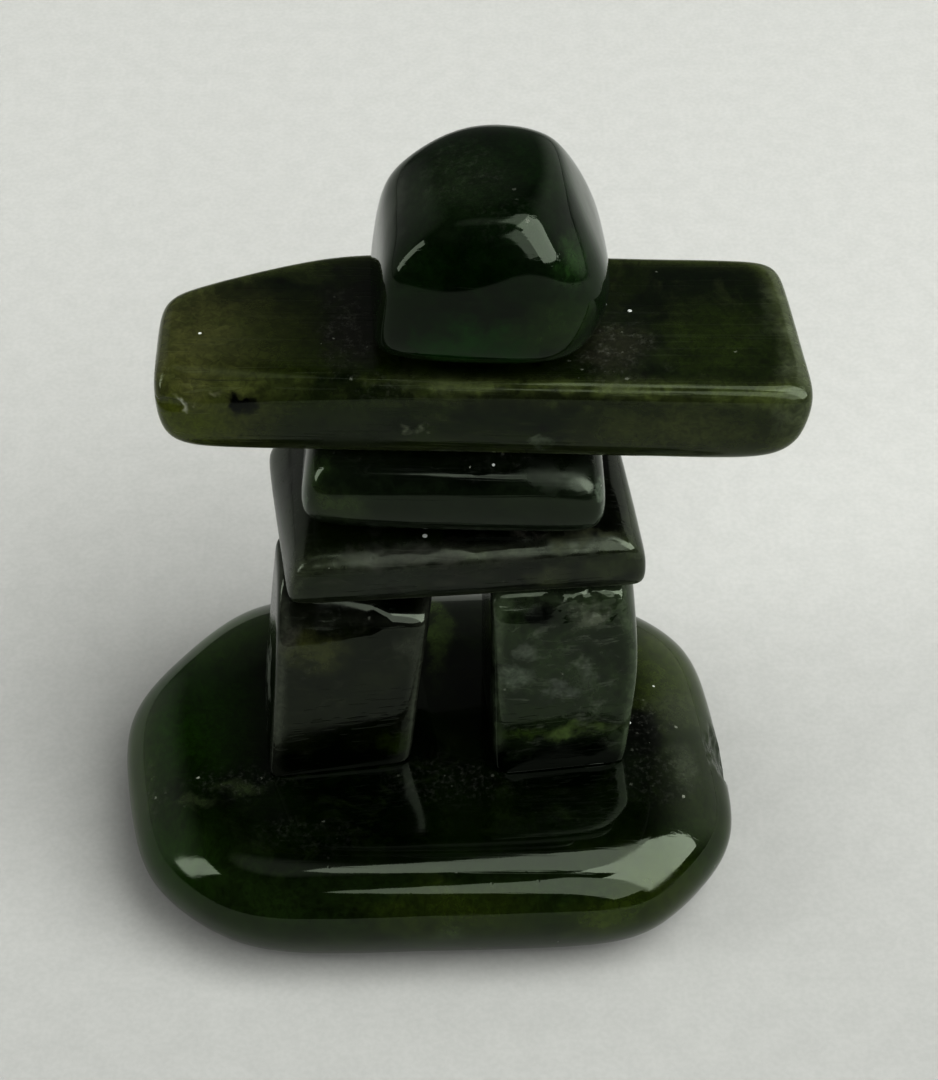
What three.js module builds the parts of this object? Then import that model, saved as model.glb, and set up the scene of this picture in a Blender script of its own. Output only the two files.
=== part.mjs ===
// Inukshuk: a small standing figure of seven polished dark green stones, glued one on another.
// Millimetres, +Z up, the figure faces -Y. The origin is the middle of the base stone's underside.
// Left and right are as seen from in front of the figure.

import * as THREE from 'three';
import { mergeVertices } from 'three/addons/utils/BufferGeometryUtils.js';

// Film of clear glue in every joint between two stones
const GLUE_LINE = 0.15;

// Base: a thick pebble slab with fully rounded sides
const BASE_LENGTH = 69.5;
const BASE_DEPTH = 52.3;
const BASE_THICKNESS = 14;

// Legs: two upright blocks of one height, standing on the base
const LEG_HEIGHT = 23.3;
const LEG_LEFT_WIDTH = 21.7;
const LEG_LEFT_DEPTH = 16.8;
const LEG_LEFT_TURN = 9.4;
const LEG_RIGHT_WIDTH = 16.1;
const LEG_RIGHT_DEPTH = 17.2;
const LEG_RIGHT_TURN = 7.7;
const LEG_GAP = 3.6;

// Lower slab: the hips, a flat slab across both legs
const LOWER_SLAB_LENGTH = 39.6;
const LOWER_SLAB_DEPTH = 27.1;
const LOWER_SLAB_THICKNESS = 7.1;
const LOWER_SLAB_TURN = 4.1;

// Upper slab: the chest, smaller and rounder
const UPPER_SLAB_LENGTH = 32.1;
const UPPER_SLAB_DEPTH = 22.8;
const UPPER_SLAB_THICKNESS = 10.2;
const UPPER_SLAB_TURN = -1.7;

// Arms: a long bar lying across the chest
const ARMS_LENGTH = 66;
const ARMS_DEPTH = 22.1;
const ARMS_THICKNESS = 10.5;
const ARMS_TURN = -1.7;

// Head: a rounded block on the middle of the arms
const HEAD_WIDTH = 24.1;
const HEAD_DEPTH = 23.9;
const HEAD_HEIGHT = 17.4;

// Where each stone stands on the one below, measured from the middle of the base
const LEGS_RIGHT_OF_BASE = 4.9;
const LEGS_BEHIND_BASE = 0.7;
const LOWER_SLAB_RIGHT_OF_LEGS = -1.7;
const LOWER_SLAB_BEHIND_LEGS = 8.3;
const UPPER_SLAB_RIGHT_OF_LOWER = 0.2;
const UPPER_SLAB_BEHIND_LOWER = -0.5;
const ARMS_RIGHT_OF_UPPER = 2.9;
const ARMS_BEHIND_UPPER = 0.5;
const HEAD_RIGHT_OF_ARMS = 0.7;
const HEAD_BEHIND_ARMS = 2;

// How deep the edge between two of a stone's flats is planed off, where tumbling wore it away
const BASE_UPPER_SOFTENING = 3.6;
const BASE_LOWER_SOFTENING = 0.6;
const ARMS_LOWER_FRONT_SOFTENING = 0.7;
const ARMS_LOWER_LEFT_SOFTENING = 0.9;
const ARMS_LOWER_RIGHT_SOFTENING = 1.4;

// Radius that tumbling leaves on a square edge of each stone
const BASE_EDGE_RADIUS = 4;
const LEG_LEFT_EDGE_RADIUS = 1.05;
const LEG_RIGHT_EDGE_RADIUS = 1.55;
const LOWER_SLAB_EDGE_RADIUS = 1.4;
const UPPER_SLAB_EDGE_RADIUS = 3.05;
const ARMS_EDGE_RADIUS = 2.6;
const HEAD_EDGE_RADIUS = 2.2;

// How far a glued face is ground back into the rounded stone, which sets how wide its flat is
const GRINDING = 0.3;
const BASE_UNDERSIDE_GRINDING = 1.2;

// Squares along each edge of the grid that a stone's surface is drawn with
const BASE_GRID = 13;
const LEG_GRID = 9;
const SLAB_GRID = 10;
const ARMS_GRID = 11;
const HEAD_GRID = 12;

// The blend of two square flats is as round as an edge of a given radius at this sharpness over the radius
const SHARPNESS_PER_RADIUS = 2.37;

// Newton steps to the blend's surface, and the slowest rate at which a direction still meets a plane
const BLEND_STEPS = 40;
const SLOWEST_RATE = 1e-9;

// A flat (x, y, z) is the plane that meets the three axes at 1/x, 1/y and 1/z of the stone's half sizes.
// A number over 1 cuts inside the box, and (0.8, 0.6, 0) slants across an edge.
const TOP = [0, 0, 1];
const BOTTOM = [0, 0, -1];

// A flat as a plane in millimetres: its outward direction and its distance from the stone's middle
function planeOfFlat(flat, half) {
  const scaled = new THREE.Vector3(...flat).divide(half);
  const steepness = scaled.length();
  return { normal: scaled.divideScalar(steepness), reach: 1 / steepness };
}

// The plane that planes off the edge between two others, by depth at its middle
function planeAcrossEdge(a, b, depth) {
  const between = a.normal.clone().add(b.normal);
  const spread = between.length();
  return { normal: between.divideScalar(spread), reach: (a.reach + b.reach) / spread - depth };
}

// Distance from the middle to the smooth blend of all planes, along one direction
function reachAlong(direction, planes, sharpness) {
  const rates = planes.map((plane) => plane.normal.dot(direction));
  let distance = Infinity;
  planes.forEach((plane, i) => {
    if (rates[i] > SLOWEST_RATE) distance = Math.min(distance, plane.reach / rates[i]);
  });
  for (let step = 0; step < BLEND_STEPS; step++) {
    let sum = 0;
    let slope = 0;
    planes.forEach((plane, i) => {
      const weight = Math.exp(sharpness * (distance * rates[i] - plane.reach));
      sum += weight;
      slope += weight * rates[i];
    });
    distance -= (Math.log(sum) * sum) / (slope * sharpness);
  }
  return distance;
}

// A tumbled stone of a given size: a cube grid blown up to the smooth blend of its flats, stretched to its
// size and ground flat at the bottom and the top by the two grinding depths
function stoneGeometry({ size, flats, softened = [], edgeRadius, grinding, grid }) {
  const half = new THREE.Vector3(...size).divideScalar(2);
  const cut = {};
  for (const name of Object.keys(flats)) cut[name] = planeOfFlat(flats[name], half);
  const planed = softened.map(([first, second, depth]) => planeAcrossEdge(cut[first], cut[second], depth));
  const planes = [...Object.values(cut), ...planed];

  const cube = new THREE.BoxGeometry(2, 2, 2, grid, grid, grid);
  cube.deleteAttribute('normal');
  cube.deleteAttribute('uv');
  const geometry = mergeVertices(cube, 1e-6);
  const points = geometry.attributes.position;
  const point = new THREE.Vector3();
  for (let i = 0; i < points.count; i++) {
    point.fromBufferAttribute(points, i);
    // The sine crowds the grid towards the edges, where the stone curves most
    const towards = ['x', 'y', 'z'].map((axis) => Math.sin((point[axis] * Math.PI) / 2) * half[axis]);
    point.set(...towards).normalize();
    point.multiplyScalar(reachAlong(point, planes, SHARPNESS_PER_RADIUS / edgeRadius));
    points.setXYZ(i, point.x, point.y, point.z);
  }

  const rough = new THREE.Box3().setFromBufferAttribute(points);
  const roughSize = rough.getSize(new THREE.Vector3());
  const low = half.clone().negate();
  low.z -= grinding.bottom;
  const high = half.clone();
  high.z += grinding.top;
  const stretch = high.clone().sub(low).divide(roughSize);
  for (let i = 0; i < points.count; i++) {
    point.fromBufferAttribute(points, i).sub(rough.min).multiply(stretch).add(low);
    point.z = THREE.MathUtils.clamp(point.z, -half.z, half.z);
    points.setXYZ(i, point.x, point.y, point.z);
  }
  geometry.computeVertexNormals();
  return geometry;
}

function greenStone(colour, roughness) {
  return new THREE.MeshStandardMaterial({ color: colour, roughness, metalness: 0 });
}

// A stone standing with its underside at a level, turned about its own upright axis by degrees
function placeStone(name, geometry, material, { x, y, level, height, turn = 0 }) {
  const mesh = new THREE.Mesh(geometry, material);
  mesh.name = name;
  mesh.position.set(x, y, level + height / 2);
  mesh.rotation.z = THREE.MathUtils.degToRad(turn);
  return mesh;
}

const bothGlued = { bottom: GRINDING, top: GRINDING };

// Levels of the stack, from the ground up
const legLevel = BASE_THICKNESS + GLUE_LINE;
const lowerSlabLevel = legLevel + LEG_HEIGHT + GLUE_LINE;
const upperSlabLevel = lowerSlabLevel + LOWER_SLAB_THICKNESS + GLUE_LINE;
const armsLevel = upperSlabLevel + UPPER_SLAB_THICKNESS + GLUE_LINE;
const headLevel = armsLevel + ARMS_THICKNESS + GLUE_LINE;

// Plan places of the stack, from the middle of the base
const legs = { x: LEGS_RIGHT_OF_BASE, y: LEGS_BEHIND_BASE };
const lowerSlab = { x: legs.x + LOWER_SLAB_RIGHT_OF_LEGS, y: legs.y + LOWER_SLAB_BEHIND_LEGS };
const upperSlab = { x: lowerSlab.x + UPPER_SLAB_RIGHT_OF_LOWER, y: lowerSlab.y + UPPER_SLAB_BEHIND_LOWER };
const arms = { x: upperSlab.x + ARMS_RIGHT_OF_UPPER, y: upperSlab.y + ARMS_BEHIND_UPPER };
const head = { x: arms.x + HEAD_RIGHT_OF_ARMS, y: arms.y + HEAD_BEHIND_ARMS };

// The base is cut to eight unlike sides, each softened broadly above and a little below.
// The sides in front lean in towards the ground, so that it reads as a worn pebble.
function makeBase() {
  const sides = {
    right: [1.14, 0.1, -0.04],
    backRight: [0.66, 0.67, -0.01],
    back: [-0.07, 0.98, 0.05],
    backLeft: [-0.91, 0.5, -0.03],
    left: [-1.1, -0.14, -0.03],
    frontLeft: [-0.73, -0.68, -0.07],
    front: [0.06, -1.15, -0.08],
    frontRight: [0.87, -0.53, -0.06],
  };
  const flats = { top: TOP, bottom: BOTTOM, ...sides };
  const softened = Object.keys(sides).flatMap((side) => [
    [side, 'top', BASE_UPPER_SOFTENING],
    [side, 'bottom', BASE_LOWER_SOFTENING],
  ]);
  const geometry = stoneGeometry({
    size: [BASE_LENGTH, BASE_DEPTH, BASE_THICKNESS],
    flats,
    softened,
    edgeRadius: BASE_EDGE_RADIUS,
    grinding: { bottom: BASE_UNDERSIDE_GRINDING, top: GRINDING / 2 },
    grid: BASE_GRID,
  });
  const place = { x: 0, y: 0, level: 0, height: BASE_THICKNESS };
  return placeStone('base', geometry, greenStone('#1c2a16', 0.15), place);
}

// A leg on one side of the gap (-1 left, 1 right)
function makeLeg(name, side, { width, depth, turn, edgeRadius, flats }) {
  const geometry = stoneGeometry({
    size: [width, depth, LEG_HEIGHT],
    flats,
    edgeRadius,
    grinding: bothGlued,
    grid: LEG_GRID,
  });
  const x = legs.x + (side * (LEG_GAP + width)) / 2;
  const place = { x, y: legs.y, level: legLevel, height: LEG_HEIGHT, turn };
  return placeStone(name, geometry, greenStone('#2b3328', 0.3), place);
}

// Both fronts lean back, and the left leg's sides lean to the right.
// A brow is worn along each leg's upper front edge.
function makeLegs() {
  const left = {
    width: LEG_LEFT_WIDTH,
    depth: LEG_LEFT_DEPTH,
    turn: LEG_LEFT_TURN,
    edgeRadius: LEG_LEFT_EDGE_RADIUS,
    flats: {
      top: [0, -0.01, 0.99],
      bottom: [0.02, -0.02, -1],
      front: [-0.08, -1.33, 0.47],
      back: [-0.21, 1, -0.07],
      left: [-1.81, 0.05, 0.17],
      right: [1.76, -0.19, -0.16],
      brow: [-0.17, -0.58, 0.96],
      rightBrow: [0.22, -0.36, 1.14],
    },
  };
  const right = {
    width: LEG_RIGHT_WIDTH,
    depth: LEG_RIGHT_DEPTH,
    turn: LEG_RIGHT_TURN,
    edgeRadius: LEG_RIGHT_EDGE_RADIUS,
    flats: {
      top: [0.01, -0.02, 1],
      bottom: BOTTOM,
      front: [-0.01, -1.23, 0.36],
      back: [-0.02, 1.01, -0.02],
      left: [-1.07, 0.05, 0],
      right: [0.97, 0.24, -0.26],
      brow: [-0.01, -0.45, 0.76],
      rightBrow: [0.61, -0.25, 0.29],
    },
  };
  return [makeLeg('leg_left', -1, left), makeLeg('leg_right', 1, right)];
}

// The hips are sawn crisp, with a slanted bevel along each end and a narrow one along the front
function makeLowerSlab() {
  const flats = {
    top: [-0.05, -0.06, 1.05],
    bottom: [-0.08, -0.05, -1.06],
    front: [0.03, -1.35, 0],
    back: [-0.14, 1.29, 0],
    left: [-1.1, -0.08, 0.03],
    right: [1.01, 0.07, 0],
    leftBrow: [-1.08, 0.07, 0.22],
    rightBrow: [0.91, -0.01, 0.16],
    frontBrow: [-0.03, -1.04, 0.26],
  };
  const geometry = stoneGeometry({
    size: [LOWER_SLAB_LENGTH, LOWER_SLAB_DEPTH, LOWER_SLAB_THICKNESS],
    flats,
    edgeRadius: LOWER_SLAB_EDGE_RADIUS,
    grinding: bothGlued,
    grid: SLAB_GRID,
  });
  const place = {
    ...lowerSlab,
    level: lowerSlabLevel,
    height: LOWER_SLAB_THICKNESS,
    turn: LOWER_SLAB_TURN,
  };
  return placeStone('lower_slab', geometry, greenStone('#26302a', 0.22), place);
}

// The chest is worn rounder. A wide brow slants from its top to its front.
// Its low front edge is cut away too.
function makeUpperSlab() {
  const flats = {
    top: [0.03, -0.09, 1],
    bottom: [0.05, -0.07, -1],
    front: [0.02, -1.07, 0.02],
    back: [0, 1.11, -0.01],
    left: [-0.99, -0.01, 0.06],
    right: [0.95, 0.07, 0.02],
    frontBrow: [-0.02, -0.84, 0.35],
    leftBrow: [-0.65, 0.2, 0.25],
    rightBrow: [0.65, -0.13, 0.3],
    rightCorner: [0.19, -0.42, 0.24],
    lowFront: [-0.16, -0.63, -0.35],
  };
  const geometry = stoneGeometry({
    size: [UPPER_SLAB_LENGTH, UPPER_SLAB_DEPTH, UPPER_SLAB_THICKNESS],
    flats,
    edgeRadius: UPPER_SLAB_EDGE_RADIUS,
    grinding: bothGlued,
    grid: SLAB_GRID,
  });
  const place = {
    ...upperSlab,
    level: upperSlabLevel,
    height: UPPER_SLAB_THICKNESS,
    turn: UPPER_SLAB_TURN,
  };
  return placeStone('upper_slab', geometry, greenStone('#1f2c22', 0.18), place);
}

// The bar keeps crisp upper edges and rounder lower ones. Its back left end is ground off slantwise.
function makeArms() {
  const flats = {
    top: TOP,
    bottom: BOTTOM,
    front: [0, -1, 0],
    back: [0, 1, 0],
    left: [-1.31, -0.02, 0],
    right: [1.07, 0.04, -0.02],
    backLeft: [-1.02, 0.67, 0],
  };
  const geometry = stoneGeometry({
    size: [ARMS_LENGTH, ARMS_DEPTH, ARMS_THICKNESS],
    flats,
    softened: [
      ['bottom', 'front', ARMS_LOWER_FRONT_SOFTENING],
      ['bottom', 'left', ARMS_LOWER_LEFT_SOFTENING],
      ['bottom', 'right', ARMS_LOWER_RIGHT_SOFTENING],
    ],
    edgeRadius: ARMS_EDGE_RADIUS,
    grinding: bothGlued,
    grid: ARMS_GRID,
  });
  const place = { ...arms, level: armsLevel, height: ARMS_THICKNESS, turn: ARMS_TURN };
  return placeStone('arms', geometry, greenStone('#2a3316', 0.2), place);
}

// The head is cut to many small flats like a rough gem. Its broadest slopes are on the left and in front.
function makeHead() {
  const flats = {
    top: [-0.07, -0.06, 1.03],
    topLeft: [-0.25, 0.03, 0.84],
    topRight: [-0.11, 0.03, 0.94],
    bottom: [0, -0.08, -1],
    left: [-1.23, -0.04, 0.13],
    leftBevel: [-0.84, -0.08, 0.77],
    frontLeft: [-0.34, -0.75, 0.05],
    front: [0.11, -0.85, 0.1],
    frontRight: [0.51, -0.59, 0],
    frontLow: [-0.06, -0.71, -0.2],
    frontBrow: [-0.15, -0.74, 0.48],
    rightBrow: [0.76, -0.36, 0.46],
    right: [0.84, 0.08, -0.08],
    rightStrip: [1.05, 0.08, 0.33],
    rightLow: [0.77, -0.16, -0.22],
    back: [-0.22, 0.77, 0.1],
    backLow: [-0.32, 0.8, -0.13],
    backRight: [0.3, 0.64, 0.13],
    backBrow: [-0.07, 0.54, 0.54],
    backLeftBrow: [-0.6, 0.57, 0.39],
    backRightBrow: [0.36, 0.53, 0.44],
  };
  const geometry = stoneGeometry({
    size: [HEAD_WIDTH, HEAD_DEPTH, HEAD_HEIGHT],
    flats,
    edgeRadius: HEAD_EDGE_RADIUS,
    grinding: { bottom: GRINDING, top: 0 },
    grid: HEAD_GRID,
  });
  const place = { ...head, level: headLevel, height: HEAD_HEIGHT };
  return placeStone('head', geometry, greenStone('#18241a', 0.15), place);
}

const figure = new THREE.Group();
figure.add(makeBase(), ...makeLegs(), makeLowerSlab(), makeUpperSlab(), makeArms(), makeHead());

export default figure;
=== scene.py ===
# Inukshuk: seven polished nephrite stones glued into a small standing figure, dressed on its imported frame.
# Shape sizes are in millimetres and become metres as each mesh is made. The figure faces -Y.

import itertools
import math

import bpy
import numpy as np
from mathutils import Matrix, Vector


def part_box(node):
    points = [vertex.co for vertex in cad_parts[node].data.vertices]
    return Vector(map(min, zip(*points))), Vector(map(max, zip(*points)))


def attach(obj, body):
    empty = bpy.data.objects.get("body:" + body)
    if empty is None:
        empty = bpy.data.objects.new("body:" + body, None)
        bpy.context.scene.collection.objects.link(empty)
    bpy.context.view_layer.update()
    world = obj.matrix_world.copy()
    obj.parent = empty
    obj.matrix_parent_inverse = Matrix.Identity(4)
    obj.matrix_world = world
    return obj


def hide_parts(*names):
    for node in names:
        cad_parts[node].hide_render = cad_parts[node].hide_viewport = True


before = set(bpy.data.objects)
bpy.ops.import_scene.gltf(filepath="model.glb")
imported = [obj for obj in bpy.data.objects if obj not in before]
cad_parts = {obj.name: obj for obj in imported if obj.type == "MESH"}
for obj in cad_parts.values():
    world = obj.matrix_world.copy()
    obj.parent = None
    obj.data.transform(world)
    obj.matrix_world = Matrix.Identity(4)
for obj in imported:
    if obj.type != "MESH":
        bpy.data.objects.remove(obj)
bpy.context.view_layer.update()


# Base stone: a thick slab of dark nephrite, sawn to eight unlike sides and tumbled until they are round.
# It is polished all over and stands loose on its ground underside. The other six stones are glued above it.

MM = 0.001
SQUARES_ALONG_A_STONE = 100

# A flat (x, y, z) is the plane that meets the axes at 1/x, 1/y and 1/z of the stone's half sizes
TOP = (0, 0, 1)
BOTTOM = (0, 0, -1)

# How far a glued face is ground back into the rounded stone
GRINDING = 0.3

# Two flats at right angles blend to an edge of the given radius when sharpness times radius is this
SHARPNESS_TIMES_RADIUS = 2.37

# Steps that bring each point onto the blend, and the rate below which a direction never reaches a flat
BLEND_STEPS = 14
SLOWEST_RATE = 1e-9

# How far the blended direction of the flats falls short of 1 where an edge counts as a full one
FULL_EDGE = 0.3


def cube_net(squares):
    """Corners of a cube split into a net of squares that crowd towards its edges, and the squares."""
    steps = np.arange(squares + 1)
    along = np.sin((2 * steps / squares - 1) * math.pi / 2)
    first, second = np.meshgrid(steps, steps, indexing="ij")
    corners, sides = [], []
    for axis, end in itertools.product(range(3), (0, squares)):
        place = np.zeros((*first.shape, 3), int)
        place[..., axis] = end
        place[..., (axis + 1) % 3] = first
        place[..., (axis + 2) % 3] = second
        number = len(corners) * first.size + np.arange(first.size).reshape(first.shape)
        square = np.stack([number[:-1, :-1], number[1:, :-1], number[1:, 1:], number[:-1, 1:]], axis=-1)
        square = square.reshape(-1, 4)
        corners.append(place.reshape(-1, 3))
        sides.append(square if end else square[:, ::-1])
    unique, index = np.unique(np.concatenate(corners), axis=0, return_inverse=True)
    return along[unique], index.reshape(-1)[np.concatenate(sides)]


def plane_of_flat(flat, half):
    """Direction and distance in millimetres of a flat given in the stone's half sizes."""
    scaled = np.array(flat, float) / half
    steepness = np.linalg.norm(scaled)
    return scaled / steepness, 1 / steepness


def plane_across_edge(first, second, depth):
    """The plane that takes depth off the edge between two others."""
    between = first[0] + second[0]
    spread = np.linalg.norm(between)
    return between / spread, (first[1] + second[1]) / spread - depth


def tumbled_stone(size, flats, radius, softened=(), ground=(GRINDING, GRINDING)):
    """A stone's points and squares: the smooth blend of its flats, stretched to size and ground flat.

    Softened holds pairs of flats and the depth planed off the edge between them. Ground is how far the
    underside and the top are ground back. The edge value is 0 on a flat and nears 1 where flats meet,
    which is where the stone is thin and worn.
    """
    half = np.array(size, float) / 2
    cut = {name: plane_of_flat(flat, half) for name, flat in flats.items()}
    planes = list(cut.values())
    for first, second, depth in softened:
        planes.append(plane_across_edge(cut[first], cut[second], depth))
    normals = np.array([plane[0] for plane in planes])
    reaches = np.array([plane[1] for plane in planes])
    net, squares = cube_net(SQUARES_ALONG_A_STONE)
    towards = net * half
    towards = towards / np.linalg.norm(towards, axis=1)[:, None]
    rates = towards @ normals.T
    distances = np.where(rates > SLOWEST_RATE, reaches / np.maximum(rates, SLOWEST_RATE), np.inf)
    distance = np.min(distances, axis=1)
    sharpness = SHARPNESS_TIMES_RADIUS / radius
    for _ in range(BLEND_STEPS):
        weight = np.exp(sharpness * (distance[:, None] * rates - reaches))
        total = weight.sum(1)
        distance = distance - np.log(total) * total / ((weight * rates).sum(1) * sharpness)
    points = towards * distance[:, None]
    facing = (weight @ normals) / total[:, None]
    edge = np.clip((1 - np.linalg.norm(facing, axis=1)) / FULL_EDGE, 0, 1)
    low = -half - (0, 0, ground[0])
    high = half + (0, 0, ground[1])
    rough_low = points.min(0)
    points = low + (points - rough_low) * (high - low) / (points.max(0) - rough_low)
    points[:, 2] = np.clip(points[:, 2], -half[2], half[2])
    return {"points": points, "squares": squares, "edge": edge}


def outward(points, squares):
    """Unit normal at every point, from the squares round it."""
    across = points[squares[:, 2]] - points[squares[:, 0]]
    beside = points[squares[:, 3]] - points[squares[:, 1]]
    facing = np.cross(across, beside)
    normals = np.zeros_like(points)
    for corner in range(4):
        np.add.at(normals, squares[:, corner], facing)
    return normals / np.linalg.norm(normals, axis=1)[:, None]


def humps(points, cell, seed):
    """Smooth noise from -1 to 1 whose humps are about one cell across."""
    cells = 32
    shift = 1000  # keeps every cell's number positive
    lattice = np.random.default_rng(seed).uniform(-1, 1, (cells, cells, cells))
    scaled = points / cell + shift
    whole = np.floor(scaled).astype(int)
    part = scaled - whole
    part = part * part * (3 - 2 * part)
    total = np.zeros(len(points))
    for corner in itertools.product((0, 1), repeat=3):
        weight = np.prod(np.where(corner, part, 1 - part), axis=1)
        x, y, z = ((whole + corner) % cells).T
        total += weight * lattice[x, y, z]
    return total


def polish_waves(points, seed, depth=0.06):
    """The slow unevenness that hand polishing leaves, so that reflections bend a little."""
    broad = humps(points, cell=13, seed=seed) + 0.45 * humps(points, cell=6, seed=seed + 1)
    return depth * broad + 0.006 * humps(points, cell=1.6, seed=seed + 2)


def chip(points, place, reaches, depth, seed):
    """Relief of one ragged shell-shaped chip, by its middle and its reaches along the three axes."""
    away = np.linalg.norm((points - place) / reaches, axis=1)
    ragged = 0.3 * humps(points, cell=max(reaches) / 2, seed=seed)
    crumbs = 0.25 * humps(points, cell=0.7, seed=seed + 1)
    away = away * (1 + ragged) + crumbs
    return -depth * np.clip(1.15 - away * away, 0, 1)


def set_on_figure(stone, node, turn):
    """Turn the stone in plan by degrees and centre it on its node, in the figure's frame."""
    angle = math.radians(turn)
    cosine, sine = math.cos(angle), math.sin(angle)
    spin = np.array([[cosine, sine, 0], [-sine, cosine, 0], [0, 0, 1]])
    turned = stone["points"] @ spin
    low, high = (np.array(corner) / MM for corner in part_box(node))
    stone["points"] = turned + (low + high) / 2 - (turned.min(0) + turned.max(0)) / 2


def stone_piece(name, node, stone, relief, material):
    """A stone as a mesh with its relief and its material, in place of its node."""
    worn = stone["points"] + outward(stone["points"], stone["squares"]) * relief[:, None]
    mesh = bpy.data.meshes.new(name)
    mesh.from_pydata((worn * MM).tolist(), [], stone["squares"].tolist())
    mesh.polygons.foreach_set("use_smooth", [True] * len(mesh.polygons))
    mesh.attributes.new("edge", "FLOAT", "POINT").data.foreach_set("value", stone["edge"])
    mesh.update()
    mesh.materials.append(material)
    piece = bpy.data.objects.new(name, mesh)
    bpy.context.scene.collection.objects.link(piece)
    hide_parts(node)
    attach(piece, "root")


def add_node(tree, kind, settings=None, **inputs):
    """A shader node with values or other nodes' sockets as inputs, by name or as i0, i1 and so on."""
    node = tree.nodes.new(kind)
    for key, value in (settings or {}).items():
        setattr(node, key, value)
    for key, value in inputs.items():
        numbered = key[0] == "i" and key[1:].isdigit()
        socket = node.inputs[int(key[1:]) if numbered else key.replace("_", " ")]
        if isinstance(value, bpy.types.NodeSocket):
            tree.links.new(value, socket)
        else:
            socket.default_value = value
    return node


def math_node(tree, operation, first, second=0.0, third=0.0, clamp=False):
    """A math node's result."""
    settings = {"operation": operation, "use_clamp": clamp}
    return add_node(tree, "ShaderNodeMath", settings, i0=first, i1=second, i2=third).outputs[0]


def vector_node(tree, operation, **inputs):
    """A vector math node's outputs."""
    return add_node(tree, "ShaderNodeVectorMath", {"operation": operation}, **inputs).outputs


def blend_node(tree, factor, first, second, way="MIX"):
    """A colour mix node's result."""
    settings = {"data_type": "RGBA", "blend_type": way}
    return add_node(tree, "ShaderNodeMix", settings, i0=factor, i6=first, i7=second).outputs[2]


def range_node(tree, value, low, high, to_low=0.0, to_high=1.0):
    """A value brought smoothly from one range to another."""
    settings = {"interpolation_type": "SMOOTHSTEP"}
    limits = {"From_Min": low, "From_Max": high, "To_Min": to_low, "To_Max": to_high}
    return add_node(tree, "ShaderNodeMapRange", settings, Value=value, **limits).outputs[0]


def noise_node(tree, place, scale, detail, roughness=0.5, distortion=0.0):
    """A noise node's outputs: a grey about 0.5, and a colour."""
    amounts = {"Detail": detail, "Roughness": roughness, "Distortion": distortion}
    return add_node(tree, "ShaderNodeTexNoise", Vector=place, Scale=scale, **amounts).outputs


def shader_group(name, inputs, outputs):
    """An empty shader node group with named sockets."""
    group = bpy.data.node_groups.new(name, "ShaderNodeTree")
    for label, kind, value in inputs:
        socket = group.interface.new_socket(name=label, in_out="INPUT", socket_type=kind)
        socket.default_value = value
    for label, kind in outputs:
        group.interface.new_socket(name=label, in_out="OUTPUT", socket_type=kind)
    return group, group.nodes.new("NodeGroupInput").outputs, group.nodes.new("NodeGroupOutput").inputs


def make_jade_body():
    """Felted nephrite: dark and livelier green in clouds, pale wisps along its bedding, black inclusions."""
    colour, value = "NodeSocketColor", "NodeSocketFloat"
    group, given, result = shader_group(
        "jade body",
        [
            ("Deep", colour, (0.001, 0.004, 0.001, 1)),
            ("Live", colour, (0.006, 0.015, 0.003, 1)),
            ("Wisp", colour, (0.03, 0.04, 0.025, 1)),
            ("Wisps", value, 0.2),
            ("Cloud Scale", value, 90.0),
            ("Inclusions", value, 0.3),
        ],
        [("Colour", colour), ("Felt", value)],
    )
    place = add_node(group, "ShaderNodeTexCoord").outputs["Object"]
    cloud = noise_node(group, place, given["Cloud Scale"], detail=4.0, roughness=0.6, distortion=0.8)[0]
    body = blend_node(group, range_node(group, cloud, 0.38, 0.64), given["Deep"], given["Live"])

    bedding = {"Rotation": (0.0, 0.25, 0.0), "Scale": (170.0, 170.0, 480.0)}
    bedded = add_node(group, "ShaderNodeMapping", Vector=place, **bedding).outputs[0]
    streak = noise_node(group, bedded, 1.0, detail=4.0, roughness=0.65, distortion=1.6)[0]
    wisp = math_node(group, "MULTIPLY", range_node(group, streak, 0.5, 0.76), given["Wisps"], clamp=True)
    body = blend_node(group, wisp, body, given["Wisp"])

    grain = add_node(group, "ShaderNodeTexVoronoi", Vector=place, Scale=330.0, Randomness=1.0).outputs[0]
    spot = range_node(group, grain, 0.1, 0.26, 1.0, 0.0)
    spot = math_node(group, "MULTIPLY", spot, range_node(group, cloud, 0.5, 0.62, 1.0, 0.0))
    spot = math_node(group, "MULTIPLY", spot, given["Inclusions"])
    body = blend_node(group, spot, body, (0.0005, 0.0008, 0.0003, 1))

    felt = noise_node(group, place, 1100.0, detail=3.0, roughness=0.7, distortion=1.0)[0]
    group.links.new(body, result["Colour"])
    group.links.new(range_node(group, felt, 0.28, 0.72, 0.72, 1.28), result["Felt"])
    return group


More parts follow.
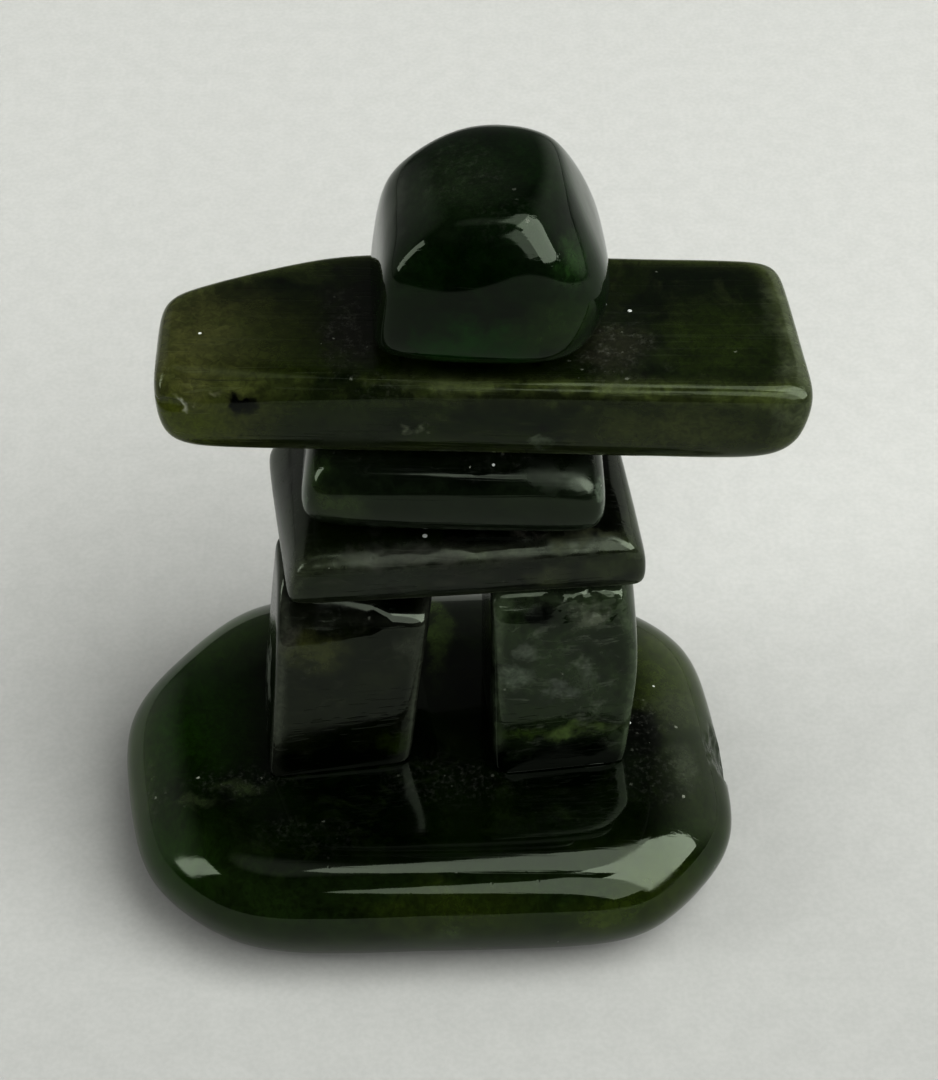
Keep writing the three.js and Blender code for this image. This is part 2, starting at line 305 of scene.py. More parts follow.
def make_hand_polish():
    """Polish with its faults: hazy patches, fine scratches, pin holes, scuffs and the pale dust in them."""
    value = "NodeSocketFloat"
    group, given, result = shader_group(
        "hand polish",
        [
            ("Roughness", value, 0.08),
            ("Haze", value, 0.12),
            ("Scratches", value, 0.3),
            ("Pits", value, 0.3),
            ("Dust", value, 0.3),
            ("Worn", value, 0.0),
            ("Scuffed", value, 0.0),
        ],
        [("Roughness", value), ("Normal", "NodeSocketVector"), ("Dust", value)],
    )
    place = add_node(group, "ShaderNodeTexCoord").outputs["Object"]
    hazy = range_node(group, noise_node(group, place, 130.0, detail=3.0)[0], 0.46, 0.7)
    crumble = noise_node(group, place, 1500.0, detail=2.0, roughness=0.7)[0]

    hairs = []
    for turn, thinnest in (((0.3, 0.2, 0.5), 0.68), ((0.1, 0.9, 1.7), 0.69)):
        drawn_out = {"Rotation": turn, "Scale": (60.0, 2600.0, 2600.0)}
        stretched = add_node(group, "ShaderNodeMapping", Vector=place, **drawn_out).outputs[0]
        hairs.append(range_node(group, noise_node(group, stretched, 1.0, detail=0.0)[0], thinnest, 0.76))
    scratch = math_node(group, "MULTIPLY", math_node(group, "MAXIMUM", *hairs), given["Scratches"])

    fleck = add_node(group, "ShaderNodeTexVoronoi", Vector=place, Scale=800.0, Randomness=1.0).outputs
    chosen = add_node(group, "ShaderNodeSeparateColor", Color=fleck[1]).outputs
    pit = range_node(group, fleck[0], 0.08, 0.2, 1.0, 0.0)
    pit = math_node(group, "MULTIPLY", pit, range_node(group, chosen[0], 0.88, 0.94))
    pit = math_node(group, "MULTIPLY", pit, given["Pits"])

    crumb = math_node(group, "MULTIPLY_ADD", crumble, -0.5, math_node(group, "ADD", fleck[0], 0.25))
    crumb = math_node(group, "MULTIPLY", range_node(group, crumb, 0.06, 0.2, 1.0, 0.0), chosen[2])
    few = math_node(group, "MULTIPLY_ADD", given["Scuffed"], -0.8, 0.99)
    dust = math_node(group, "MULTIPLY", crumb, math_node(group, "GREATER_THAN", chosen[1], few))
    dust = math_node(group, "MULTIPLY", dust, given["Dust"], clamp=True)
    scuff = math_node(group, "MULTIPLY", range_node(group, crumble, 0.46, 0.78), given["Scuffed"])
    dust = math_node(group, "MAXIMUM", dust, math_node(group, "MULTIPLY", scuff, 0.16))

    rough = math_node(group, "MULTIPLY_ADD", hazy, given["Haze"], given["Roughness"])
    rough = math_node(group, "MULTIPLY_ADD", scratch, 0.25, rough)
    rough = math_node(group, "MULTIPLY_ADD", given["Worn"], 0.6, rough)
    rough = math_node(group, "MULTIPLY_ADD", dust, 1.2, rough, clamp=True)

    crumbly = math_node(group, "MULTIPLY_ADD", given["Worn"], 0.8, 0.05)
    height = math_node(group, "MULTIPLY", crumble, crumbly)
    height = math_node(group, "MULTIPLY_ADD", scratch, -0.5, height)
    height = math_node(group, "SUBTRACT", height, pit)
    bump = add_node(group, "ShaderNodeBump", Height=height, Strength=0.35, Distance=0.00006).outputs[0]

    group.links.new(rough, result["Roughness"])
    group.links.new(bump, result["Normal"])
    group.links.new(dust, result["Dust"])
    return group


jade_body = make_jade_body()
hand_polish = make_hand_polish()


def patch_at(tree, place, middle, reaches, solid=0.2):
    """1 in an ellipsoid round a place in the figure's frame, fading to 0 at its reaches, in millimetres."""
    shares = tuple(1 / (reach * MM) for reach in reaches)
    offset = tuple(-along / reach for along, reach in zip(middle, reaches))
    away = vector_node(tree, "MULTIPLY_ADD", i0=place, i1=shares, i2=offset)["Vector"]
    length = vector_node(tree, "LENGTH", i0=away)["Value"]
    return range_node(tree, length, solid, 1.0, 1.0, 0.0)


def jade_material(name, body, polish, rim, marks, scuffed, worn=None, specks=(), refraction=1.6):
    """Nephrite with its own clouds and polish, and a painted glow on its rim where it is thin.

    A mark is a tint, a middle, reaches and a strength, and a worn or scuffed place is the same without a
    tint. A speck of white dust is a middle and a reach. Middles and reaches are in the figure's frame.
    """
    material = bpy.data.materials.new(name)
    material.use_nodes = True
    tree = material.node_tree
    shader = tree.nodes["Principled BSDF"]
    shader.inputs["IOR"].default_value = refraction
    shader.inputs["Specular Tint"].default_value = (0.9, 1.0, 0.84, 1)
    place = add_node(tree, "ShaderNodeTexCoord").outputs["Object"]

    # Marks have ragged borders, because their places wander by up to 3 mm each way
    wander = noise_node(tree, place, 260.0, detail=3.0, roughness=0.6)
    back = vector_node(tree, "ADD", i0=place, i1=(-3 * MM,) * 3)["Vector"]
    ragged = vector_node(tree, "MULTIPLY_ADD", i0=wander[1], i1=(6 * MM,) * 3, i2=back)["Vector"]

    inside = add_node(tree, "ShaderNodeGroup", {"node_tree": jade_body}, **body).outputs
    surface = add_node(tree, "ShaderNodeGroup", {"node_tree": hand_polish}, **polish)
    for fault, places in (("Worn", worn or {}), ("Scuffed", scuffed)):
        spread = 0.0
        for middle, reaches, strength in places.values():
            here = math_node(tree, "MULTIPLY", patch_at(tree, ragged, middle, reaches), strength)
            spread = math_node(tree, "MAXIMUM", spread, here)
        if places:
            tree.links.new(spread, surface.inputs[fault])

    # The rim colour is painted glow: light that would shine through the stone where it is thin
    edge = add_node(tree, "ShaderNodeAttribute", {"attribute_name": "edge"}).outputs["Fac"]
    thin = range_node(tree, edge, 0.1, 0.9)
    thin = math_node(tree, "MULTIPLY", thin, range_node(tree, wander[0], 0.3, 0.6, 0.4, 1.0))
    colour = blend_node(tree, thin, inside["Colour"], (*rim, 1))
    shade = range_node(tree, wander[0], 0.3, 0.62, 0.6, 1.0)
    for tint, middle, reaches, strength in marks.values():
        here = math_node(tree, "MULTIPLY", patch_at(tree, ragged, middle, reaches), strength)
        colour = blend_node(tree, math_node(tree, "MULTIPLY", here, shade), colour, (*tint, 1))
    colour = blend_node(tree, 1.0, colour, inside["Felt"], "MULTIPLY")
    colour = blend_node(tree, surface.outputs["Dust"], colour, (0.3, 0.31, 0.27, 1))
    for middle, reach in specks:
        speck = patch_at(tree, place, middle, (reach,) * 3, solid=0.7)
        colour = blend_node(tree, speck, colour, (0.5, 0.52, 0.5, 1))

    tree.links.new(colour, shader.inputs["Base Color"])
    tree.links.new(surface.outputs["Roughness"], shader.inputs["Roughness"])
    tree.links.new(surface.outputs["Normal"], shader.inputs["Normal"])
    return material


base_sides = {
    "right": (1.14, 0.1, -0.04),
    "back right": (0.66, 0.67, -0.01),
    "back": (-0.07, 0.98, 0.05),
    "back left": (-0.91, 0.5, -0.03),
    "left": (-1.1, -0.14, -0.03),
    "front left": (-0.73, -0.68, -0.07),
    "front": (0.06, -1.15, -0.08),
    "front right": (0.87, -0.53, -0.06),
}
base_softening = {"top": 3.6, "bottom": 0.6}
base_stone = tumbled_stone(
    size=(69.5, 52.3, 14),
    flats={"top": TOP, "bottom": BOTTOM, **base_sides},
    radius=4,
    softened=[(side, face, depth) for side in base_sides for face, depth in base_softening.items()],
    ground=(1.2, GRINDING / 2),
)
set_on_figure(base_stone, "base", turn=0)
base_jade = jade_material(
    "base jade",
    body={"Deep": (0.0003, 0.0015, 0.0002, 1), "Live": (0.002, 0.006, 0.0006, 1),
          "Wisp": (0.02, 0.035, 0.008, 1), "Wisps": 0.3, "Cloud_Scale": 80.0, "Inclusions": 0.5},
    polish={"Roughness": 0.04, "Haze": 0.03, "Scratches": 0.1, "Pits": 0.1, "Dust": 0.7},
    rim=(0.012, 0.026, 0.004),
    marks={
        "green on the left": ((0.009, 0.032, 0.001), (-26.7, 2.4, 13), (12, 17, 9), 0.9),
        "light green, back left": ((0.02, 0.05, 0.002), (-23.7, 14.4, 12), (9, 10, 7), 0.9),
        # Painted glow of light shining through the thin left side
        "painted glow through the left side": ((0.022, 0.042, 0.006), (-32.7, -5.6, 9), (5, 17, 7), 0.9),
        "green front left corner": ((0.009, 0.03, 0.001), (-27.7, -17.6, 10), (10, 9, 7), 0.9),
        "outer half of a pale vein": ((0.03, 0.042, 0.018), (-25.4, -12.2, 13.6), (4, 1.3, 2), 0.8),
        "inner half of the vein": ((0.03, 0.042, 0.018), (-20.6, -10.3, 14), (4, 1.3, 2), 0.8),
        "olive on the right": ((0.03, 0.043, 0.005), (27.3, 8.4, 13), (11, 13, 8), 0.95),
        "pale by the right rim": ((0.035, 0.044, 0.02), (29.3, 1.4, 13), (5, 5, 4), 0.7),
        "dull right side": ((0.011, 0.017, 0.003), (31.3, -8.6, 11), (9, 11, 8), 0.9),
        # Olive stone, brightened here by a painted highlight standing in for part of a streak of window
        # light
        "olive front with painted highlight": ((0.02, 0.03, 0.003), (3.3, -24.6, 10), (15, 4, 5), 0.9),
        "olive corner, front right": ((0.018, 0.026, 0.002), (24.3, -20.6, 9), (11, 7, 7), 0.9),
        # Painted light: the base's top behind the legs, lit from behind, seen through the gap between them
        "painted light between the legs": ((0.05, 0.08, 0.018), (1.2, 14, 14), (2.4, 12, 2), 1.0),
        "small pale cloud, low in front": ((0.05, 0.075, 0.03), (-1, -28, 4), (2.5, 3, 3), 0.7),
        "small pale cloud above it": ((0.045, 0.065, 0.025), (2.5, -26.6, 8), (2.5, 3, 2.5), 0.7),
        "light olive, front right": ((0.035, 0.05, 0.006), (19, -25, 9), (6, 4, 4), 0.8),
        "green lower front": ((0.011, 0.024, 0.001), (4.3, -27.6, 4), (32, 4.5, 6), 0.9),
        "black right of the legs": ((0.001, 0.002, 0.0005), (24.5, -2.5, 14), (4.5, 5.5, 2), 1.5),
        "pale spot by the chipped rim": ((0.04, 0.048, 0.03), (29.2, -7, 13.4), (2, 5, 2.4), 0.7),
    },
    worn={
        "chipped right rim": ((33.8, -1.6, 11), (2, 7, 3), 0.7),
        "front right shoulder": ((25, -20, 12), (8, 4, 3), 0.25),
        "front left shoulder": ((-26.5, -19, 11.5), (6, 5, 4), 0.12),
    },
    scuffed={
        "right of the legs": ((24, 0, 14), (7, 5, 2), 0.8),
        "top, front right": ((26, -8, 13.6), (7, 6, 3), 0.6),
        "in front of the legs": ((3, -9.5, 14), (10, 5, 2), 0.55),
        "top, front left": ((-13, -17, 13.6), (8, 3, 2), 0.4),
        "along the vein": ((-21, -9.5, 14), (9, 3, 3), 0.6),
        "left shoulder": ((-31, -10, 11), (4, 8, 4), 0.5),
        "front shoulder": ((8, -22, 11), (14, 2, 3), 0.3),
    },
    specks=[
        ((23.2, -1.2, 14), 0.25),
        ((26.3, 4.5, 13.8), 0.2),
        ((-24.5, -3.5, 13.6), 0.22),
        ((21, -21.5, 11.5), 0.25),
    ],
)
base_points = base_stone["points"]
base_relief = polish_waves(base_points, seed=11)
base_relief += chip(base_points, (33.6, -2.6, 9.4), (1.6, 4, 3), depth=0.7, seed=15)
stone_piece("base_stone", "base", base_stone, base_relief, base_jade)


# Legs: two upright blocks of greyer, cloudier nephrite with saw marks left in their faces.
# They stand a few millimetres apart, lean back a little, and are glued to the base and to the slab above.
# The brow along each leg's top is broken away, all but its right end.

leg_height = 23.3
SAW_PITCH = 0.9


def saw_marks(points, seed, depth):
    """Shallow parallel grooves that the diamond saw left, worn away in places."""
    across = points[:, 2] + 0.25 * points[:, 0] + 0.4 * humps(points, cell=7, seed=seed)
    worn = np.clip(humps(points, cell=5, seed=seed + 1) + 0.3, 0, 1)
    return depth * worn * np.sin(across * 2 * math.pi / SAW_PITCH)


def past_plane(points, facing, depth):
    """How far points stand past a plane that cuts depth into the stone's furthest point that way."""
    along = points @ facing
    return along - along.max() + depth


def planed(past, crispness):
    """What a plane takes off the points past it. Its border is the sharper, the higher the crispness."""
    return np.logaddexp(0, crispness * past) / crispness


def broken_brow(points, facing, depth, waves, right_end, seed):
    """What is broken off a leg's brow, from the leg's left side to a right end along x."""
    past = past_plane(points, facing, depth + waves * humps(points, cell=3, seed=seed))
    return np.clip((right_end - points[:, 0]) / 2, 0, 1) * planed(past, crispness=5)


left_leg = tumbled_stone(
    size=(21.7, 16.8, leg_height),
    flats={
        "top": (0, -0.01, 0.99),
        "bottom": (0.02, -0.02, -1),
        "front": (-0.08, -1.33, 0.47),
        "back": (-0.21, 1, -0.07),
        "left": (-1.81, 0.05, 0.17),
        "right": (1.76, -0.19, -0.16),
        "brow": (-0.17, -0.58, 0.96),
        "right brow": (0.22, -0.36, 1.14),
    },
    radius=1.05,
    ground=(1.0, GRINDING),
)
set_on_figure(left_leg, "leg_left", turn=9.4)
left_leg_jade = jade_material(
    "left leg jade",
    body={"Deep": (0.0005, 0.0015, 0.0003, 1), "Live": (0.003, 0.005, 0.001, 1),
          "Wisp": (0.03, 0.032, 0.021, 1), "Wisps": 0.35, "Cloud_Scale": 120.0, "Inclusions": 0.4},
    polish={"Roughness": 0.05, "Haze": 0.1, "Scratches": 0.4, "Pits": 0.2, "Dust": 0.3},
    rim=(0.04, 0.045, 0.033),
    marks={
        "olive, upper left": ((0.035, 0.04, 0.012), (-11.2, -4.9, 30.5), (5, 3, 3.5), 0.9),
        "pale upper left corner": ((0.05, 0.052, 0.04), (-14.2, -4.9, 32.5), (2.2, 2, 3), 0.8),
        "pale right edge": ((0.03, 0.034, 0.024), (-1.2, -3.6, 30), (2.5, 2, 5), 0.8),
        "dull middle": ((0.01, 0.013, 0.005), (-4.7, -4.6, 26), (4, 3, 3), 0.6),
        "white ground left side": ((0.15, 0.17, 0.14), (-18.3, -0.6, 24), (1.5, 10, 12), 0.8),
        # Painted dark reflection: the brow is blackened where it mirrors the dark room in front
        "painted dark reflection along the brow": ((0.0004, 0.001, 0.0003), (-7.7, -3.6, 34.9), (6.5, 3, 1.8), 1.3),
        # Painted shade: the foot is blackened where it mirrors the shaded top of the base
        "painted shade on the foot": ((0.0003, 0.001, 0.0002), (-9.7, -8, 15), (12, 6, 4.2), 1.8),
        "green spot on the foot": ((0.014, 0.026, 0.002), (-3.4, -6.8, 17.6), (2.6, 2, 2), 0.9),
    },
    worn={
        "left side": ((-18.3, -0.6, 24), (1.5, 10, 12), 0.9),
        "brow": ((-9, -3.6, 34.9), (6, 4, 2.4), 0.15),
        "right end of the brow": ((-1.5, -3.6, 34.4), (4, 3, 2), 0.12),
    },
    scuffed={
        "brow": ((-8.7, -3.6, 34), (5, 3, 2), 0.35),
        "left side": ((-18, -2, 22), (2.5, 6, 10), 0.6),
        "front": ((-13, -5.6, 29), (4, 2, 5), 0.25),
    },
    specks=[((-3, -6.9, 17.5), 0.25)],
)
left_leg_points = left_leg["points"]
left_leg_relief = polish_waves(left_leg_points, seed=21)
left_leg_relief += saw_marks(left_leg_points, seed=26, depth=0.003)
break_facing = (0.093, -0.795, 0.599)
left_leg_relief -= broken_brow(left_leg_points, break_facing, depth=0.7, waves=0.08, right_end=-3.5, seed=28)
stone_piece("left_leg_stone", "leg_left", left_leg, left_leg_relief, left_leg_jade)

right_leg = tumbled_stone(
    size=(16.1, 17.2, leg_height),
    flats={
        "top": (0.01, -0.02, 1),
        "bottom": BOTTOM,
        "front": (-0.01, -1.23, 0.36),
        "back": (-0.02, 1.01, -0.02),
        "left": (-1.07, 0.05, 0),
        "right": (0.97, 0.24, -0.26),
        "brow": (-0.01, -0.45, 0.76),
        "right brow": (0.61, -0.25, 0.29),
    },
    radius=1.55,
    ground=(1.2, GRINDING),
)
set_on_figure(right_leg, "leg_right", turn=7.7)
right_leg_jade = jade_material(
    "right leg jade",
    body={"Deep": (0.005, 0.01, 0.003, 1), "Live": (0.015, 0.026, 0.009, 1),
          "Wisp": (0.09, 0.1, 0.08, 1), "Wisps": 0.65, "Cloud_Scale": 150.0, "Inclusions": 0.3},
    polish={"Roughness": 0.05, "Haze": 0.08, "Scratches": 0.3, "Pits": 0.2, "Dust": 0.3},
    rim=(0.045, 0.06, 0.035),
    marks={
        "black break in the brow": ((0.0005, 0.0015, 0.0005), (12.3, -4, 35), (3.2, 2.5, 2.8), 1.3),
        "pale right end of the brow": ((0.08, 0.09, 0.065), (18.3, -3.6, 34.8), (3.4, 2.5, 2), 0.8),
        "white cloud in the middle": ((0.1, 0.11, 0.1), (14.9, -6.1, 24.7), (3, 2, 1.6), 0.9),
        "pale cloud on the left": ((0.06, 0.075, 0.055), (9.9, -6, 27.8), (3.4, 2, 2.2), 0.9),
        "pale cloud high up": ((0.06, 0.07, 0.055), (12, -5.6, 31.5), (3, 2, 1.6), 0.8),
        "pale cloud on the right": ((0.07, 0.08, 0.065), (17.5, -6, 27.5), (3, 2, 2.5), 0.8),
        "dark band below the clouds": ((0.008, 0.016, 0.003), (12.3, -6.6, 22.2), (5, 3, 1.6), 0.9),
        "green streak, low right": ((0.06, 0.085, 0.03), (17.3, -6.8, 19.2), (6, 2, 1.5), 0.9),
        "green streak, low left": ((0.03, 0.05, 0.01), (11.3, -7.1, 20), (5, 2, 1.4), 0.8),
        # Painted shade: the foot is blackened where it mirrors the shaded top of the base
        "painted shade on the foot": ((0.0004, 0.0015, 0.0004), (14.3, -7.6, 14.8), (14, 8, 4.3), 1.8),
        # Painted shade on the side that faces the other leg across the narrow gap
        "painted shade on the side towards the other leg": ((0.0005, 0.0012, 0.0005), (6.5, -0.6, 26), (2, 12, 14), 1.6),
    },
    worn={
        "right end of the brow": ((18.3, -3.6, 34.8), (4, 2.5, 2), 0.5),
        "break in the brow": ((12.3, -4, 35), (3.2, 2.5, 2.8), 0.3),
        "side towards the other leg": ((6.5, -0.6, 26), (2, 12, 14), 0.3),
    },
    scuffed={
        "right end of the brow": ((18.3, -3.6, 34.8), (4, 2.5, 2), 0.9),
        "front, right": ((17, -6.5, 25), (6, 3, 7), 0.45),
        "front, left": ((10, -6, 27), (4, 2, 4), 0.5),
    },
)
right_leg_points = right_leg["points"]
right_leg_relief = polish_waves(right_leg_points, seed=31)
right_leg_relief += saw_marks(right_leg_points, seed=36, depth=0.004)
break_facing = (0.107, -0.793, 0.6)
right_leg_relief -= broken_brow(right_leg_points, break_facing, depth=0.6, waves=0.1, right_end=15, seed=38)
right_leg_relief += chip(right_leg_points, (18.1, -3.2, 35.6), (3.6, 2, 1.6), depth=0.3, seed=39)
stone_piece("right_leg_stone", "leg_right", right_leg, right_leg_relief, right_leg_jade)


# Lower slab: the hips, a flat sawn slab with crisp edges and a slanted bevel along each end.
# It lies across both legs, glued to them. Its upper front edge is planed off and has two shallow chips.

lower_slab = tumbled_stone(
    size=(39.6, 27.1, 7.1),
    flats={
        "top": (-0.05, -0.06, 1.05),
        "bottom": (-0.08, -0.05, -1.06),
        "front": (0.03, -1.35, 0),
        "back": (-0.14, 1.29, 0),
        "left": (-1.1, -0.08, 0.03),
        "right": (1.01, 0.07, 0),
        "left brow": (-1.08, 0.07, 0.22),
        "right brow": (0.91, -0.01, 0.16),
        "front brow": (-0.03, -1.04, 0.26),
    },
    radius=1.4,
)
set_on_figure(lower_slab, "lower_slab", turn=4.1)
lower_jade = jade_material(
    "lower slab jade",
    body={"Deep": (0.0008, 0.0015, 0.0006, 1), "Live": (0.005, 0.009, 0.002, 1),
          "Wisp": (0.04, 0.04, 0.03, 1), "Wisps": 0.35, "Cloud_Scale": 100.0, "Inclusions": 0.3},
    polish={"Roughness": 0.1, "Haze": 0.12, "Scratches": 0.5, "Pits": 0.4, "Dust": 0.5},
    rim=(0.035, 0.042, 0.025),
    marks={
        "dull ridge": ((0.025, 0.025, 0.021), (2.3, -4, 43.9), (15, 2.2, 1.6), 0.95),
        "pale chips on the ridge": ((0.06, 0.058, 0.045), (9.5, -1.4, 44.6), (5, 1.2, 0.8), 0.8),
        "pale right half of the ridge": ((0.05, 0.056, 0.028), (17.3, -1.6, 44.5), (6, 1.6, 1.1), 0.9),
        "light front, right": ((0.03, 0.036, 0.016), (13.8, -3.5, 41), (3, 2, 2.5), 0.8),
        "light right end of the front": ((0.03, 0.04, 0.015), (19.3, -2.8, 41), (5, 2, 3), 0.8),
        "dull front, left": ((0.014, 0.018, 0.012), (-3.7, -5, 41.5), (8, 2, 2.5), 0.7),
        # Painted glow of light shining through the thin right edge
        "painted glow through the right edge": ((0.035, 0.045, 0.022), (22.3, 4.4, 43.5), (2.5, 12, 2), 0.8),
    },
    worn={
        "ridge": ((2.3, -4, 43.9), (17, 3, 2), 0.5),
        "right half of the ridge": ((16.3, -2, 44.2), (7, 2.2, 1.6), 0.7),
    },
    scuffed={
        "middle of the ridge": ((10, -1.5, 44.7), (5, 2, 1), 0.7),
        "right half of the ridge": ((17, -1.4, 44.7), (7, 1.6, 1), 0.6),
    },
    specks=[((0.4, -1.3, 44.6), 0.32)],
)
lower_points = lower_slab["points"]
lower_relief = polish_waves(lower_points, seed=41)
past_edge = past_plane(lower_points, (0.052, -0.598, 0.8), depth=0.25)
lower_relief -= planed(past_edge, crispness=6)

# The planed edge is rough, and so is the last millimetre before it
lower_relief += 0.07 * np.clip(1 + past_edge, 0, 1) * humps(lower_points, cell=1.5, seed=48)
lower_relief += chip(lower_points, (7.3, -2, 44.8), (5.5, 1.3, 0.9), depth=0.4, seed=45)
lower_relief += chip(lower_points, (-1.2, -2.8, 44.7), (4, 1.0, 0.8), depth=0.25, seed=47)
stone_piece("lower_slab_stone", "lower_slab", lower_slab, lower_relief, lower_jade)


# Upper slab: the chest, a smaller slab of dark nephrite tumbled rounder, with a wide brow along its front.
# It is glued near the middle of the hips, and one shallow chip is knocked out of its brow.

upper_slab = tumbled_stone(
    size=(32.1, 22.8, 10.2),
    flats={
        "top": (0.03, -0.09, 1),
        "bottom": (0.05, -0.07, -1),
        "front": (0.02, -1.07, 0.02),
        "back": (0, 1.11, -0.01),
        "left": (-0.99, -0.01, 0.06),
        "right": (0.95, 0.07, 0.02),
        "front brow": (-0.02, -0.84, 0.35),
        "left brow": (-0.65, 0.2, 0.25),
        "right brow": (0.65, -0.13, 0.3),
        "right corner": (0.19, -0.42, 0.24),
        "low front": (-0.16, -0.63, -0.35),
    },
    radius=3.05,
)
set_on_figure(upper_slab, "upper_slab", turn=-1.7)
upper_jade = jade_material(
    "upper slab jade",
    body={"Deep": (0.002, 0.005, 0.0015, 1), "Live": (0.005, 0.01, 0.003, 1),
          "Wisp": (0.02, 0.03, 0.018, 1), "Wisps": 0.25, "Cloud_Scale": 110.0, "Inclusions": 0.3},
    polish={"Roughness": 0.09, "Haze": 0.12, "Scratches": 0.3, "Pits": 0.2, "Dust": 0.7},
    rim=(0.008, 0.014, 0.006),
    marks={
        "green upper left corner": ((0.034, 0.06, 0.018), (-10.7, -0.1, 52.3), (2.5, 3, 3), 0.8),
        "green front, left": ((0.026, 0.04, 0.012), (-8.3, -2.4, 50), (4.5, 2, 3.2), 0.8),
        # Painted shade: the brow lies under the overhanging arms
        "painted shade on the brow under the arms": ((0.0005, 0.002, 0.0005), (4, -1, 53.6), (15, 3, 1.9), 1.0),
        "light lower edge": ((0.05, 0.065, 0.042), (3.8, -3, 45.6), (17, 3, 1.6), 0.9),
        # Painted glow of light shining through the thin left and right edges
        "painted glow through the left edge": ((0.08, 0.11, 0.075), (-12.1, -0.6, 49.5), (0.9, 4, 4.5), 0.8),
        "painted glow through the right edge": ((0.1, 0.125, 0.095), (19.3, 0.4, 50), (0.9, 5, 4.5), 0.8),
    },
    worn={"right shoulder": ((14.3, -0.8, 53.2), (6.5, 2.6, 2), 0.6)},
    scuffed={
        "brow, right": ((8, -0.2, 54), (8, 2.4, 1), 0.5),
        "brow, left": ((-8, 0.2, 54), (6, 2, 1), 0.3),
    },
    specks=[((11.5, -0.8, 53.9), 0.25), ((7.5, -0.2, 53.9), 0.22)],
)
upper_points = upper_slab["points"]
upper_relief = polish_waves(upper_points, seed=51)
upper_relief += chip(upper_points, (6.3, -0.4, 54.2), (5, 1.4, 0.8), depth=0.1, seed=55)
stone_piece("upper_slab_stone", "upper_slab", upper_slab, upper_relief, upper_jade)


# Arms: a long bar of olive nephrite, the most see-through of the stones, with painted glow at its thin ends.
# Its upper edges are crisp, its lower ones rounder, and its back left end is ground off slantwise.
# It is glued across the chest. Its upper front edge is worn down, most of all on the left.

arms_stone = tumbled_stone(
    size=(66, 22.1, 10.5),
    flats={
        "top": TOP,
        "bottom": BOTTOM,
        "front": (0, -1, 0),
        "back": (0, 1, 0),
        "left": (-1.31, -0.02, 0),
        "right": (1.07, 0.04, -0.02),
        "back left": (-1.02, 0.67, 0),
    },
    radius=2.6,
    softened=[("bottom", "front", 0.7), ("bottom", "left", 0.9), ("bottom", "right", 1.4)],
)
set_on_figure(arms_stone, "arms", turn=-1.7)
arms_jade = jade_material(
    "arms jade",
    body={"Deep": (0.002, 0.006, 0.0005, 1), "Live": (0.01, 0.018, 0.0015, 1),
          "Wisp": (0.04, 0.048, 0.018, 1), "Wisps": 0.35, "Cloud_Scale": 70.0, "Inclusions": 0.7},
    polish={"Roughness": 0.1, "Haze": 0.2, "Scratches": 0.6, "Pits": 0.2, "Dust": 0.6},
    rim=(0.05, 0.062, 0.02),
    marks={
        # Olive stone, its thin left end brightened by painted glow
        "olive left end with painted glow": ((0.066, 0.069, 0.024), (-25.7, 5.4, 62), (19, 15, 10), 1.0),
        # Painted shadow that the head casts on the arms' top, to its left
        "painted shade towards the head": ((0.014, 0.02, 0.001), (-11.7, 6.4, 64), (9, 10, 6), 0.7),
        "painted shadow left of the head": ((0.001, 0.0015, 0.0005), (-6.2, 9.4, 65.5), (5, 9, 3), 0.9),
        "bright olive front with painted highlight, left": ((0.055, 0.07, 0.004), (-23.7, -1.1, 60), (8, 3, 5), 0.9),
        "dark front below the head": ((0.012, 0.018, 0.006), (-7.7, -1.6, 61), (9, 3, 6), 0.8),
        # Painted dark reflection along the upper front edge, where its rounding mirrors the dark room
        "painted dark reflection on the upper edge, left": ((0.0012, 0.005, 0.0003), (-7, -1, 64.7), (12, 2.8, 2), 1.0),
        "painted dark reflection on the upper edge": ((0.0012, 0.003, 0.0003), (14, -2.2, 64), (28, 2.4, 1.7), 0.8),
        "black spot by the crease": ((0.0002, 0.0005, 0.0002), (-17.2, -1.2, 63.4), (2.2, 1.6, 2.6), 1.8),
        # Painted highlight along the crease at the left end
        "painted highlight in the crease": ((0.11, 0.115, 0.07), (-22, -1.2, 64.4), (3.4, 1.2, 0.5), 1.2),
        "painted highlight at the bottom of the crease": ((0.2, 0.21, 0.17), (-23.7, -1, 63.3), (1.2, 1.2, 0.6), 1.2),
        "pale spot in the middle": ((0.09, 0.1, 0.07), (0.6, -1.8, 60.6), (1.3, 1.3, 1.1), 0.95),
        "pale spot, low right": ((0.052, 0.065, 0.044), (12.3, -1.9, 58.5), (1.6, 1.3, 1.0), 0.9),
        "olive front with painted highlight, right": ((0.035, 0.043, 0.012), (26.3, -2.6, 60.5), (14, 3, 5), 1.0),
        # Painted glow of light shining through the thin right end
        "painted glow through the right end": ((0.07, 0.082, 0.05), (37.6, 6.4, 63), (3.6, 17, 6), 1.0),
        "olive top, right": ((0.02, 0.032, 0.004), (29, 5, 65.7), (9, 9, 2), 0.8),
        "brown dirt right of the head": ((0.026, 0.026, 0.016), (19.5, 4.4, 65.7), (5, 6, 2), 0.9),
        "brown dirt left of the head": ((0.012, 0.012, 0.008), (-6.5, 7, 65.7), (4, 8, 2), 0.9),
    },
    scuffed={
        "right of the head": ((19.5, 4.4, 65.7), (6, 7, 2), 0.9),
        "left of the head": ((-7, 7, 65.6), (4.5, 9, 2), 0.7),
        "in front of the head": ((-3, -0.6, 65), (9, 2.4, 2), 0.4),
        "upper edge, right": ((20, 0.6, 65.6), (12, 1.6, 1), 0.35),
    },
    specks=[((-22, 6.6, 65.7), 0.22), ((21.3, 10, 65.7), 0.26)],
    refraction=1.5,
)
arms_points = arms_stone["points"]
arms_relief = polish_waves(arms_points, seed=61)

